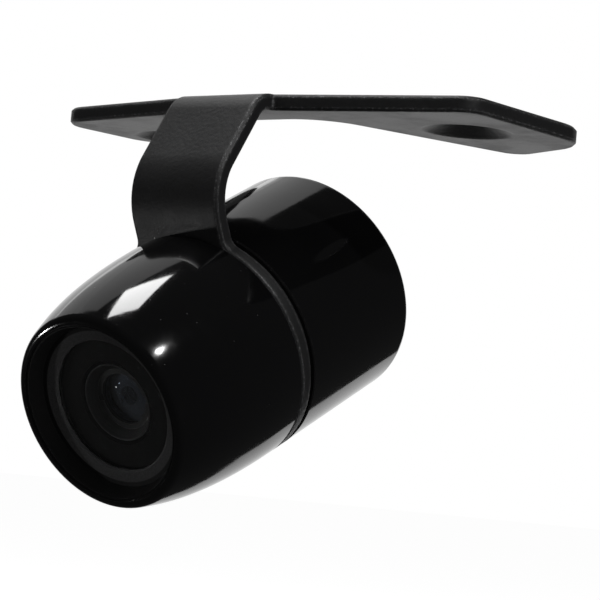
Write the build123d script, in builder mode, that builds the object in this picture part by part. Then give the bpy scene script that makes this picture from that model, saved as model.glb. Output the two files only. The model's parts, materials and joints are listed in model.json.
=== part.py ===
from build123d import *
import os
from math import copysign, cos, radians, sin, sqrt

# Backup camera: a round two-piece camera housing clamped through the ring of a bent sheet bracket.
# The origin is on the bracket's mounting face, midway between its two screw holes.  +Z points out of
# that face, -Y is the side that the lens looks to and +X is to the right of a person behind it.

# ---------------------------------------------------------------- bracket
sheet = 1.6
stem_width = 11.0
lens_tilt = 27.0  # the camera looks this far below the mounting face's plane
stem_lean = 32.0  # lean of the stem's straight run, back from upright
crown_bend = 3.6  # outer radius where the stem turns into the plate
shin_bend = 6.9  # outer radius of the lower bend
stem_run = 6.3  # straight run between the two bends
shin_height = 13.2  # camera axis to the start of the lower bend
hole_spacing = 37.8
hole_radius = 2.1
seat_radius = 4.6
seat_depth = 1.2
hole_setback = 14.5  # hole line behind the plate's front edge
neck_depth = 5.4
stem_root = 1.4  # how far the stem runs down into the ring
edge_round = 0.25
root_fillet = 1.5
ring_radius = 12.0
ring_hole = 9.8

# Each wing's outline, from the stem outwards: (x, y from the front edge, corner radius)
long_wing = [
    (26.6, 3.9, 2.4),
    (27.4, 24.1, 7.0),
    (15.6, 29.6, 2.2),
    (7.6, neck_depth, 6.0),
]
short_wing = [
    (-26.8, 3.7, 4.0),
    (-25.6, 16.0, 5.0),
    (-19.0, 22.5, 4.0),
    (-12.4, 17.5, 3.0),
    (-7.6, neck_depth, 6.0),
]

# ---------------------------------------------------------------- housings
# Stations run along the camera axis from the front of the bracket's ring, positive to the rear.
barrel_radius = 12.0
rim_station = -15.1
rim_radius = 10.1
rim_slope = 19.0
waist_station = -7.5
waist_radius = 11.65
front_station = -16.3
front_land = 9.15
bezel_radius = 8.9
bezel_setback = 0.2
bezel_gap = 0.06
cone_mouth = 8.68
cone_base = 8.13
cone_base_station = -14.6
lip_radius = 6.66
lip_station = -14.4
window_station = -14.05
window_radius = 7.3
window_thickness = 0.4
gasket_thickness = 0.25
gasket_hole = 6.76
baffle_thickness = 0.25
web_end = -12.0
web_hole = 6.3
cavity_radius = 8.3
spigot_radius = 9.5
spigot_end = 7.2
thread_pitch = 1.0
thread_depth = 0.5
thread_start = 4.0
thread_gap = 0.08
seal_start = 2.5
seal_end = 3.4
seal_floor = 8.85
seal_section = 0.3
washer_inner = 9.7
washer_outer = 10.9
washer_thickness = 0.25
clamp_gap = 0.5
running_gap = 0.04  # on each face that turns against the ring or the gasket
clamp_recess = 0.5
rear_relief = 8.6
rear_cavity = 10.1
rear_station = 19.1
rear_wall = 2.1
rear_round = 1.0
edge_break = 0.12

# ---------------------------------------------------------------- lens
lens_front = -13.25
cone_floor = -12.3
lens_head_end = -10.9
lens_rear = -6.4
lens_head_radius = 3.92
lens_clearance = 0.38
front_glass_radius = 3.1
front_glass_station = -12.0
front_glass_seat = -11.1
rear_glass_radius = 2.35
stop_back = -10.5
middle_back = -9.2
spacer_back = -8.1
rear_lip = -6.9
stop_aperture = 0.9
glass_fit = 0.03
lens_thread_start = -10.6
lens_thread_radius = 3.5
lens_thread_depth = 0.2
lens_thread_pitch = 0.35
lens_thread_fit = 0.06
lens_seal_section = 0.28
lens_seal_gap = 0.05
lens_land = 0.12
rear_lip_width = 0.55
retainer_width = 0.5
slot_width = 0.7
slot_depth = 0.15
spacer_hole = 1.9

# ---------------------------------------------------------------- lens holder and boards
holder_front = -10.1
holder_radius = 4.7
holder_ledge = -6.0
holder_pocket = -5.4
holder_base = 9.6
holder_corner = 1.0
ear_offset = 6.1
ear_radius = 1.5
ear_pilot = -5.6
ear_screw = 0.5
ear_screw_tip = -5.4
ear_head_radius = 1.0
sensor_front = -4.9
sensor_glass = 0.12
filter_thickness = 0.3
board_radius = 7.9
board_thickness = 1.0
sensor_board_station = -4.0
video_board_station = 3.0
boss_offset = 6.6
boss_radius = 1.3
boss_root = 0.6  # how far the boss is rooted in the web
boss_pilot_station = -9.0
stud_radius = 0.6
screw_fit = 0.03
screw_hole_gap = 0.1
screw_tip = 0.5
screw_head = 0.7
screw_head_radius = 1.1
driver_radius = 0.35
stud_length = 3.5
standoff_flats = 2.4
crystal_height = 1.2
processor_height = 0.9
inductor_height = 2.0
capacitor_height = 0.8
socket_height = 4.2
socket_base = 1.0
socket_y = -1.6
pin_count = 4
pin_pitch = 1.5
pin_width = 0.4
pin_length = 2.4

# ---------------------------------------------------------------- cable gland
gland_radius = 3.5
gland_bore = 2.25
gland_flange = 4.6
gland_flats = 7.8
gland_chamfer = 0.3
gland_head = 1.4
gland_inner = 14.6
nut_flats = 9.0
nut_thickness = 2.0
grommet_lip = 3.0
grommet_lip_thickness = 0.7
grommet_round = 0.4
grommet_start = 15.0
cable_radius = 1.6

os.makedirs("parts", exist_ok=True)

window_back = window_station + window_thickness
gasket_back = window_back + gasket_thickness
baffle_back = gasket_back + baffle_thickness
bezel_back = gasket_back
bezel_front = front_station + bezel_setback
shoulder = -running_gap
clamp_station = sheet + clamp_gap
sensor_board_back = sensor_board_station + board_thickness
video_board_back = video_board_station + board_thickness
socket_floor = video_board_back + socket_base
rear_floor = rear_station - rear_wall
gland_end = rear_station + gland_head
plate_front = -hole_setback

# The bracket's outer face, drawn from the plate's front edge down to the camera axis, with x along
# the row's Y and y along its Z.
with BuildLine() as bracket_face:
    crown = JernArc((plate_front, 0), (-1, 0), crown_bend, 90 - stem_lean)
    run = Line(crown @ 1, crown @ 1 + (crown % 1) * stem_run)
    shin = JernArc(run @ 1, run % 1, shin_bend, stem_lean + lens_tilt)
    foot = Line(shin @ 1, shin @ 1 + (shin % 1) * shin_height)
centre = Vector(0, (foot @ 1).X, (foot @ 1).Y)
rearward = Vector(0, cos(radians(lens_tilt)), sin(radians(lens_tilt)))
barrel_axis = Axis(centre, rearward)

# In the meridian plane, x is the station along the camera and y the radius.
meridian = Plane(origin=centre, x_dir=rearward, z_dir=(1, 0, 0))


def station(distance):
    """Cross-section plane at a station: x to the right, y away from the ring's foot, z to the lens."""
    return Plane(origin=centre + rearward * distance, x_dir=(1, 0, 0), z_dir=-rearward)


def half_section(*corners):
    """Closed half-section in the meridian plane from (station, radius) corners."""
    with BuildSketch(meridian) as section:
        with BuildLine():
            Polyline(*corners, close=True)
        make_face()
    return section.sketch


def ridges(start, end, crest, depth, pitch):
    """Corners of a run of V ridges from one station to another, as (station, radius) pairs."""
    count = int((end - start) / pitch)
    corners = []
    for turn in range(count):
        root = start + turn * pitch
        corners += [(root, crest - depth), (root + pitch / 2, crest)]
    return corners + [(start + count * pitch, crest - depth)]


def disc(at, thickness, radius, hole=0.0):
    """Round plate or washer from one station towards the rear."""
    with BuildSketch(station(at)) as outline:
        Circle(radius)
        if hole > 0:
            Circle(hole, mode=Mode.SUBTRACT)
    return extrude(outline.sketch, amount=-thickness, mode=Mode.PRIVATE)


def block(at, thickness, width, height, x=0.0, y=0.0):
    """Rectangular block from one station towards the rear, centred at (x, y) on the cross-section."""
    with BuildSketch(station(at)) as outline:
        with Locations((x, y)):
            Rectangle(width, height)
    return extrude(outline.sketch, amount=-thickness, mode=Mode.PRIVATE)


def post(at, length, radius, x=0.0, y=0.0):
    """Round post from one station towards the rear, centred at (x, y) on the cross-section."""
    with BuildSketch(station(at)) as outline:
        with Locations((x, y)):
            Circle(radius)
    return extrude(outline.sketch, amount=-length, mode=Mode.PRIVATE)


def lens_surface(vertex, rim, radius):
    """Spherical surface from the axis to its rim, as three (station, radius) points."""
    sagitta = rim - vertex
    sphere = (radius**2 + sagitta**2) / (2 * sagitta)
    halfway = vertex + sphere - copysign(sqrt(sphere**2 - radius**2 / 4), sphere)
    return (vertex, 0), (halfway, radius / 2), (rim, radius)


def lens_section(front, back, radius, front_crown, front_clear, back_crown, back_clear):
    """Half-section of a lens element; a crown is how far a surface bulges out from its seat."""
    with BuildSketch(meridian) as section:
        with BuildLine():
            ThreePointArc(*lens_surface(front - front_crown, front, front_clear))
            Polyline((front, front_clear), (front, radius), (back, radius), (back, back_clear))
            ThreePointArc(*lens_surface(back + back_crown, back, back_clear))
            Line((back + back_crown, 0), (front - front_crown, 0))
        make_face()
    return section.sketch


def ring_seal(at, radius, cord):
    """Sealing ring of round cord, its centre line at a station and a radius."""
    with BuildSketch(meridian) as section:
        with Locations((at, radius)):
            Circle(cord)
    return revolve(section.sketch, axis=barrel_axis, mode=Mode.PRIVATE)


def is_outline(edge):
    """True for the bracket's outline edges, and not for its bend lines, bores or short corner edges."""
    tolerance = 0.01
    bend_line = edge.geom_type == GeomType.LINE and abs(edge.length - stem_width) < tolerance
    bore = edge.geom_type == GeomType.CIRCLE and (
        abs(edge.radius - ring_hole) < tolerance or abs(edge.arc_center.Y) < tolerance
    )
    return edge.length > sheet + tolerance and not bend_line and not bore


def keep(piece, name):
    """Labels a finished piece and writes its STEP file."""
    piece.part.label = name
    export_step(piece.part, f"parts/{name}.step")


# ================================================================ bracket
with BuildPart() as mounting_bracket:
    # The plate, a wing on each side of the neck
    with BuildSketch(Plane.XY):
        with BuildLine():
            for wing in (long_wing, short_wing):
                FilletPolyline(
                    (copysign(stem_width / 2, wing[0][0]), plate_front),
                    *[(x, plate_front + y) for x, y, _ in wing],
                    (0, plate_front + neck_depth),
                    radius=[r for _, _, r in wing],
                )
            Line((-stem_width / 2, plate_front), (stem_width / 2, plate_front))
        make_face()
    extrude(amount=-sheet)
    # The stem, bent down and forward from the plate to the ring
    with BuildSketch(Plane.YZ):
        with BuildLine():
            add([crown, run, shin])
            Line(shin @ 1, foot @ 1 - (foot % 1) * (ring_radius - stem_root))
            offset(amount=sheet, side=Side.LEFT)
        make_face()
    extrude(amount=stem_width / 2, both=True)
    add(disc(0, sheet, ring_radius, ring_hole))
    # Screw holes, seated from below
    with Locations(Plane.XY.offset(-sheet)):
        with Locations((-hole_spacing / 2, 0), (hole_spacing / 2, 0)):
            Cylinder(hole_radius, 4 * sheet, mode=Mode.SUBTRACT)
            Cone(seat_radius, hole_radius, seat_depth, align=(Align.CENTER, Align.CENTER, Align.MIN),
                 mode=Mode.SUBTRACT)
    # The stem's roots blend into the ring, and every outer edge is broken as on a tumbled blank
    roots = mounting_bracket.edges().filter_by(barrel_axis).filter_by(
        lambda edge: abs(edge.center().X) < stem_width and edge.length < 2 * sheet
    ).group_by(Axis.Z)[-1]
    fillet(roots, radius=root_fillet)
    chamfer(mounting_bracket.edges().filter_by(is_outline), length=edge_round)
keep(mounting_bracket, "mounting_bracket")

# ================================================================ front housing and window
spigot_ridges = ridges(thread_start, spigot_end - edge_break, spigot_radius, thread_depth, thread_pitch)
with BuildPart() as front_housing:
    with BuildSketch(meridian):
        with BuildLine():
            Spline(
                (rim_station, rim_radius),
                (waist_station, waist_radius),
                (shoulder - edge_break, barrel_radius),
                tangents=[(cos(radians(rim_slope)), sin(radians(rim_slope))), (1, 0)],
            )
            Polyline(
                (shoulder - edge_break, barrel_radius),
                (shoulder, barrel_radius - edge_break),
                (shoulder, washer_outer),
                (shoulder - washer_thickness, washer_outer),
                (shoulder - washer_thickness, washer_inner),
                (shoulder, washer_inner),
                (shoulder, spigot_radius),
                (seal_start, spigot_radius),
                (seal_start, seal_floor),
                (seal_end, seal_floor),
                (seal_end, spigot_radius),
                (thread_start - thread_depth, spigot_radius),
                *spigot_ridges,
                (spigot_end, spigot_radius - thread_depth),
                (spigot_end, cavity_radius),
                (web_end, cavity_radius),
                (web_end, web_hole),
                (baffle_back, web_hole),
                (baffle_back, window_radius + bezel_gap),
                (bezel_back, window_radius + bezel_gap),
                (bezel_back, bezel_radius + bezel_gap),
                (front_station + edge_break / 2, bezel_radius + bezel_gap),
                (front_station, bezel_radius + bezel_gap + edge_break / 2),
                (front_station, front_land),
            )
            Spline(
                (front_station, front_land),
                (rim_station, rim_radius),
                tangents=[(0, 1), (cos(radians(rim_slope)), sin(radians(rim_slope)))],
            )
        make_face()
    revolve(axis=barrel_axis)
    # Two bosses that carry the boards, with a blind pilot hole in each
    for side in (-1, 1):
        add(post(web_end - boss_root, sensor_board_station - web_end + boss_root, boss_radius,
                 side * boss_offset))
        add(post(boss_pilot_station, sensor_board_station - boss_pilot_station, stud_radius,
                 side * boss_offset), mode=Mode.SUBTRACT)
keep(front_housing, "front_housing")

with BuildPart() as front_bezel:
    revolve(half_section(
        (bezel_front, bezel_radius - edge_break),
        (bezel_front, cone_mouth),
        (cone_base_station, cone_base),
        (lip_station, lip_radius + edge_break),
        (lip_station + edge_break, lip_radius),
        (window_station, lip_radius),
        (window_station, window_radius + bezel_gap),
        (bezel_back, window_radius + bezel_gap),
        (bezel_back, bezel_radius),
        (bezel_front + edge_break, bezel_radius),
    ), axis=barrel_axis)
keep(front_bezel, "front_bezel")

with BuildPart() as front_window:
    add(disc(window_station, window_thickness, window_radius))
keep(front_window, "front_window")

with BuildPart() as window_gasket:
    add(disc(window_back, gasket_thickness, window_radius, gasket_hole))
keep(window_gasket, "window_gasket")

with BuildPart() as light_baffle:
    add(disc(gasket_back, baffle_thickness, window_radius, lens_head_radius + lens_clearance))
keep(light_baffle, "light_baffle")

with BuildPart() as slip_washer:
    add(disc(shoulder - washer_thickness, washer_thickness, washer_outer - bezel_gap,
             washer_inner + bezel_gap))
keep(slip_washer, "slip_washer")

with BuildPart() as spigot_seal:
    add(ring_seal((seal_start + seal_end) / 2, seal_floor + seal_section, seal_section))
keep(spigot_seal, "spigot_seal")

# ================================================================ lens
with BuildPart() as lens_barrel:
    revolve(half_section(
        (lens_front, lens_head_radius),
        (lens_front, lens_head_radius - lens_land),
        (cone_floor, front_glass_radius + glass_fit),
        (front_glass_seat, front_glass_radius + glass_fit),
        (front_glass_seat, rear_glass_radius + glass_fit),
        (rear_lip, rear_glass_radius + glass_fit),
        (rear_lip, rear_glass_radius - rear_lip_width),
        (lens_rear, rear_glass_radius - rear_lip_width),
        *reversed(ridges(lens_thread_start, lens_rear, lens_thread_radius, lens_thread_depth,
                         lens_thread_pitch)),
        (lens_head_end, lens_thread_radius - lens_thread_depth),
        (lens_head_end, lens_head_radius),
    ), axis=barrel_axis)
keep(lens_barrel, "lens_barrel")

with BuildPart() as lens_retaining_ring:
    add(disc(cone_floor, front_glass_station - cone_floor, front_glass_radius,
             front_glass_radius - retainer_width))
    # Two spanner slots
    add(block(cone_floor, slot_depth, width=2 * front_glass_radius, height=slot_width),
        mode=Mode.SUBTRACT)
keep(lens_retaining_ring, "lens_retaining_ring")

with BuildPart() as front_element:
    revolve(lens_section(front_glass_station, front_glass_seat, front_glass_radius, front_crown=0.6,
                         front_clear=2.55, back_crown=-0.4, back_clear=2.0), axis=barrel_axis)
keep(front_element, "front_element")

with BuildPart() as aperture_stop:
    add(disc(front_glass_seat, stop_back - front_glass_seat, rear_glass_radius, stop_aperture))
keep(aperture_stop, "aperture_stop")

with BuildPart() as middle_element:
    revolve(lens_section(stop_back, middle_back, rear_glass_radius, front_crown=-0.25,
                         front_clear=1.6, back_crown=-0.3, back_clear=1.8), axis=barrel_axis)
keep(middle_element, "middle_element")

with BuildPart() as lens_spacer:
    add(disc(middle_back, spacer_back - middle_back, rear_glass_radius, spacer_hole))
keep(lens_spacer, "lens_spacer")

with BuildPart() as rear_element:
    revolve(lens_section(spacer_back, rear_lip, rear_glass_radius, front_crown=0.45,
                         front_clear=1.85, back_crown=0.15, back_clear=1.7), axis=barrel_axis)
keep(rear_element, "rear_element")

with BuildPart() as lens_seal:
    add(ring_seal(lens_head_end + lens_seal_section, lens_thread_radius + lens_seal_gap
                  + lens_seal_section, lens_seal_section))
keep(lens_seal, "lens_seal")

# ================================================================ sensor and boards
with BuildPart() as lens_holder:
    add(disc(holder_front, holder_ledge - holder_front, holder_radius, lens_thread_radius + lens_thread_fit))
    with BuildSketch(station(holder_ledge)):
        RectangleRounded(holder_base, holder_base, holder_corner)
        SlotCenterToCenter(2 * ear_offset, 2 * ear_radius, rotation=90)
    extrude(amount=holder_ledge - sensor_board_station)
    add(block(holder_pocket, sensor_board_station - holder_pocket, width=7.0, height=7.0),
        mode=Mode.SUBTRACT)
    add(block(holder_ledge, holder_pocket - holder_ledge, width=4.4, height=4.4), mode=Mode.SUBTRACT)
    for side in (-1, 1):
        add(post(ear_pilot, sensor_board_station - ear_pilot, ear_screw, 0, side * ear_offset),
            mode=Mode.SUBTRACT)
keep(lens_holder, "lens_holder")

with BuildPart() as infrared_filter:
    add(block(holder_pocket, filter_thickness, width=5.2, height=5.2))
keep(infrared_filter, "infrared_filter")

with BuildPart() as image_sensor:
    add(block(sensor_front, sensor_board_station - sensor_front, width=6.0, height=5.6))
    add(block(sensor_front - sensor_glass, sensor_glass, width=5.0, height=4.4))
keep(image_sensor, "image_sensor")

with BuildPart() as sensor_board:
    add(disc(sensor_board_station, board_thickness, board_radius))
    for side in (-1, 1):
        add(post(sensor_board_station, board_thickness, stud_radius + screw_hole_gap, side * boss_offset),
            mode=Mode.SUBTRACT)
        add(post(sensor_board_station, board_thickness, ear_screw + screw_hole_gap, 0, side * ear_offset),
            mode=Mode.SUBTRACT)
keep(sensor_board, "sensor_board")

with BuildPart() as holder_screws:
    for side in (-1, 1):
        add(post(ear_screw_tip, sensor_board_back - ear_screw_tip, ear_screw - screw_fit, 0,
                 side * ear_offset))
        add(post(sensor_board_back, screw_head, ear_head_radius, 0, side * ear_offset))
        add(post(sensor_board_back + screw_head / 2, screw_head / 2, driver_radius, 0, side * ear_offset),
            mode=Mode.SUBTRACT)
keep(holder_screws, "holder_screws")

with BuildPart() as board_standoffs:
    with BuildSketch(station(sensor_board_back)):
        with Locations((-boss_offset, 0), (boss_offset, 0)):
            RegularPolygon(standoff_flats / 2, 6, major_radius=False)
    extrude(amount=sensor_board_back - video_board_station)
    for side in (-1, 1):
        add(post(sensor_board_back - stud_length, stud_length, stud_radius - screw_fit,
                 side * boss_offset))
        add(post(0, video_board_station, stud_radius, side * boss_offset), mode=Mode.SUBTRACT)
keep(board_standoffs, "board_standoffs")

with BuildPart() as video_board:
    add(disc(video_board_station, board_thickness, board_radius))
    for side in (-1, 1):
        add(post(video_board_station, board_thickness, stud_radius + screw_hole_gap, side * boss_offset),
            mode=Mode.SUBTRACT)
keep(video_board, "video_board")

with BuildPart() as board_screws:
    for side in (-1, 1):
        add(post(screw_tip, video_board_back - screw_tip, stud_radius - screw_fit, side * boss_offset))
        add(post(video_board_back, screw_head, screw_head_radius, side * boss_offset))
        add(post(video_board_back + screw_head / 2, screw_head / 2, driver_radius, side * boss_offset),
            mode=Mode.SUBTRACT)
keep(board_screws, "board_screws")

with BuildPart() as board_header:
    add(block(sensor_board_back, video_board_station - sensor_board_back, width=7.0, height=1.8,
              y=3.4))
keep(board_header, "board_header")

with BuildPart() as sensor_crystal:
    add(block(sensor_board_back, crystal_height, width=3.2, height=2.4, y=-3.2))
keep(sensor_crystal, "sensor_crystal")

with BuildPart() as video_processor:
    add(block(video_board_station - processor_height, processor_height, width=5.0, height=5.0,
              y=-1.4))
keep(video_processor, "video_processor")

with BuildPart() as supply_inductor:
    add(block(video_board_back, inductor_height, width=3.6, height=3.6, y=4.6))
keep(supply_inductor, "supply_inductor")

with BuildPart() as board_capacitors:
    for side in (-1, 1):
        for x, y in ((3.6, 3.2), (3.6, 5.0), (4.6, -4.0)):
            add(block(video_board_back, capacitor_height, width=1.6, height=0.8, x=side * x, y=y))
keep(board_capacitors, "board_capacitors")

with BuildPart() as cable_socket:
    add(block(video_board_back, socket_height, width=7.0, height=3.4, y=socket_y))
    add(block(socket_floor, video_board_back + socket_height - socket_floor, width=6.0, height=2.4,
              y=socket_y), mode=Mode.SUBTRACT)
keep(cable_socket, "cable_socket")

with BuildPart() as socket_pins:
    for pin in range(pin_count):
        x = (pin - (pin_count - 1) / 2) * pin_pitch
        add(block(socket_floor, pin_length, width=pin_width, height=pin_width, x=x, y=socket_y))
keep(socket_pins, "socket_pins")

# ================================================================ rear housing and gland
with BuildPart() as clamp_gasket:
    add(disc(sheet + running_gap, clamp_gap - 2 * running_gap, ring_radius - clamp_recess, ring_hole))
keep(clamp_gasket, "clamp_gasket")

with BuildPart() as rear_housing:
    with BuildSketch(meridian):
        with BuildLine():
            bore = spigot_radius + thread_gap
            Polyline(
                (rear_station - rear_round, barrel_radius),
                (clamp_station + edge_break, barrel_radius),
                (clamp_station, barrel_radius - edge_break),
                (clamp_station, bore),
                (rear_relief, bore),
                (rear_relief + rear_cavity - bore, rear_cavity),
                (rear_floor, rear_cavity),
                (rear_floor, gland_radius + screw_fit),
                (rear_station, gland_radius + screw_fit),
                (rear_station, barrel_radius - rear_round),
            )
            RadiusArc((rear_station, barrel_radius - rear_round), (rear_station - rear_round, barrel_radius),
                      -rear_round)
        make_face()
    revolve(axis=barrel_axis)
keep(rear_housing, "rear_housing")

with BuildPart() as cable_gland:
    with BuildSketch(station(rear_station)):
        Circle(gland_flange)
        Rectangle(2 * gland_flange, gland_flats, mode=Mode.INTERSECT)
    extrude(amount=-gland_head)
    chamfer(cable_gland.faces().sort_by(barrel_axis)[-1].edges(), length=gland_chamfer)
    add(disc(gland_inner, rear_station - gland_inner, gland_radius))
    add(disc(gland_inner, gland_end - gland_inner, gland_bore), mode=Mode.SUBTRACT)
keep(cable_gland, "cable_gland")

with BuildPart() as gland_nut:
    with BuildSketch(station(rear_floor - nut_thickness)):
        RegularPolygon(nut_flats / 2, 6, major_radius=False)
        Circle(gland_radius + screw_fit, mode=Mode.SUBTRACT)
    extrude(amount=-nut_thickness)
keep(gland_nut, "gland_nut")

with BuildPart() as gland_grommet:
    add(disc(grommet_start, gland_end - grommet_start, gland_bore - screw_fit))
    add(disc(gland_end, grommet_lip_thickness, grommet_lip))
    fillet(gland_grommet.faces().sort_by(barrel_axis)[-1].edges(), radius=grommet_round)
    add(disc(grommet_start, gland_end + grommet_lip_thickness - grommet_start, cable_radius),
        mode=Mode.SUBTRACT)
keep(gland_grommet, "gland_grommet")
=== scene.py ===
"""Backup camera on a bent sheet bracket: its finishes, the small parts made as meshes, and a plain studio.

The file is laid out as a Blender add-on.  Every size is in metres unless its name says otherwise.
"""
import json
import math
import random

import bmesh
import bpy
from bpy.props import FloatProperty, FloatVectorProperty, IntProperty, PointerProperty
from bpy.types import Operator, Panel, PropertyGroup
from mathutils import Matrix, Vector


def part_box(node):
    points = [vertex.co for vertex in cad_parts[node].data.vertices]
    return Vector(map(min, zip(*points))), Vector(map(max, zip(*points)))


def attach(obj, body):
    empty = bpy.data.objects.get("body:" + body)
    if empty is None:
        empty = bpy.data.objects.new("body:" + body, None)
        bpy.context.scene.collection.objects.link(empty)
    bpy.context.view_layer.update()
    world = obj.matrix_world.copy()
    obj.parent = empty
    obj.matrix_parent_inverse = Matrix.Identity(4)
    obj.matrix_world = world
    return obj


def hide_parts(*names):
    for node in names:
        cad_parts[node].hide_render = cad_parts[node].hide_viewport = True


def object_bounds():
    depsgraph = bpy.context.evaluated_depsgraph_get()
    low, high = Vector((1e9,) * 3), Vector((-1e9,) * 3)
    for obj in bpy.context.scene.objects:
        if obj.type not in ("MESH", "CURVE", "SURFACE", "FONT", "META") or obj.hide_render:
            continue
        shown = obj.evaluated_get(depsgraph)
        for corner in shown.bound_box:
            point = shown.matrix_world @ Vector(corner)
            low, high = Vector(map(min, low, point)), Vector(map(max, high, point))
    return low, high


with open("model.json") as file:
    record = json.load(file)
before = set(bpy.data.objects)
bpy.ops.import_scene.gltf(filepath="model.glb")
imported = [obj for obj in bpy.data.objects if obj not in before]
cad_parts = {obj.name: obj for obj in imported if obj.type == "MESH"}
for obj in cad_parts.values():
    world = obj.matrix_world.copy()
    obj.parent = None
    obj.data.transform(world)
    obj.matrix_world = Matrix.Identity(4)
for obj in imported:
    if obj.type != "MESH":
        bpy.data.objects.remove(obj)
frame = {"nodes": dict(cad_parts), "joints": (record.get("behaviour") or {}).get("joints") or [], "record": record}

bl_info = {
    "name": "Backup Camera Finishes",
    "version": (1, 0, 0),
    "blender": (4, 5, 0),
    "location": "3D Viewport > Sidebar > Camera Parts",
    "description": "Finishes and small mesh parts of a backup camera on a bent sheet bracket",
    "category": "Object",
}

MM = 0.001
CAD_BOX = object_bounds()
ROLL_JOINT = next(joint for joint in frame["joints"] if joint["name"] == "camera_roll")
BARREL_CENTRE = Vector(ROLL_JOINT["pos_m"])
REARWARD = Vector(ROLL_JOINT["axis"]).normalized()
UPWARD = Vector((1, 0, 0)).cross(REARWARD)
NODE_SLOTS = {part["node"]: part["material_slot"] for part in frame["record"]["subparts"]}

# The Mix node's sockets for two colours and their blend
MIX_FIRST = 6
MIX_SECOND = 7
MIX_RESULT = 2


# ---------------------------------------------------------------- settings
def colour(name, description, default):
    """A colour property with the usual subtype."""
    return FloatVectorProperty(
        name=name, description=description, default=default, subtype="COLOR", size=3, min=0.0, max=1.0
    )


def length(name, description, default_mm):
    """A length property, given in millimetres and kept in metres."""
    return FloatProperty(
        name=name, description=description, default=default_mm * MM, unit="LENGTH", precision=5, min=0.0
    )


def share(name, description, default):
    """A property from 0 to 1."""
    return FloatProperty(name=name, description=description, default=default, min=0.0, max=1.0,
                         subtype="FACTOR")


def angle(name, description, default_degrees):
    """An angle property, given in degrees and kept in radians."""
    return FloatProperty(name=name, description=description, default=math.radians(default_degrees),
                         subtype="ANGLE")


class BracketCoatSettings(PropertyGroup):
    """The bracket's powder coat."""
    base: colour("Coat colour", "Colour of the coat on flat faces", (0.0085, 0.0085, 0.0088))
    worn: colour("Edge colour", "Colour where the coat is thin on an edge", (0.36, 0.36, 0.365))
    roughness: share("Roughness", "How satin the coat is", 0.40)
    peel_size: length("Peel size", "Width of the coat's orange peel", 0.42)
    grain_size: length("Grain size", "Width of the powder's fine grain", 0.10)
    fleck_size: length("Fleck size", "Width of the bright flecks on edges", 0.13)


class ShellSettings(PropertyGroup):
    """The two gloss housings."""
    base: colour("Shell colour", "Colour under the gloss", (0.0032, 0.0032, 0.0034))
    roughness: share("Roughness", "How sharp the gloss is", 0.07)
    ripple_size: length("Ripple size", "Width of the gloss coat's ripples", 1.6)
    dust_size: length("Dust size", "Spacing of the specks of dust", 0.9)


class PlasticSettings(PropertyGroup):
    """The moulded and turned black parts."""
    bezel: colour("Bezel colour", "Colour of the bezel, gland and nut", (0.060, 0.060, 0.061))
    # Painted shade: beyond this radius the bezel's colour is darkened
    painted_shade_radius: length("Painted shade radius", "Radius beyond which the bezel is blacked", 7.65)
    bezel_roughness: share("Bezel roughness", "How matt the bezel is", 0.46)
    lens: colour("Lens barrel colour", "Colour of the lens barrel and holder", (0.012, 0.012, 0.0125))
    lens_roughness: share("Lens barrel roughness", "How matt the lens barrel is", 0.42)
    rubber: colour("Rubber colour", "Colour of the seals and the grommet", (0.014, 0.014, 0.014))
    grain_size: length("Grain size", "Width of the mould's grain", 0.14)


class GlassSettings(PropertyGroup):
    """The window and the lens elements."""
    window_ior: FloatProperty(name="Window index", description="Refractive index of the window",
                              default=1.45, min=1.0, max=2.0)
    lens_ior: FloatProperty(name="Lens index", description="Refractive index of the lens elements",
                            default=1.60, min=1.0, max=2.0)
    bloom: colour("Coating bloom", "Tint of the lens coating's reflection", (0.80, 0.86, 1.0))


class BoardSettings(PropertyGroup):
    """The circuit boards and what is soldered to them."""
    mask: colour("Solder mask", "Colour of the boards", (0.008, 0.095, 0.035))
    track: colour("Track colour", "Solder mask over copper", (0.020, 0.19, 0.075))
    track_pitch: length("Track pitch", "Spacing of the copper tracks", 0.9)
    leg_count: IntProperty(name="Legs a side", description="Legs on each side of the video processor",
                           default=8, min=2, max=12)
    winding_turns: IntProperty(name="Winding turns", description="Turns of wire on the inductor",
                               default=9, min=3, max=20)
    wire_radius: length("Wire radius", "Radius of the inductor's wire", 0.075)


class GrommetSettings(PropertyGroup):
    """The rubber grommet in the rear gland."""
    ribs: IntProperty(name="Ribs", description="Ribs round the grommet's outer lip", default=3, min=1, max=6)
    rib_depth: length("Rib depth", "Depth of the grooves between the ribs", 0.10)
    segments: IntProperty(name="Segments", description="Segments round the grommet", default=96, min=24,
                          max=256)


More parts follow.
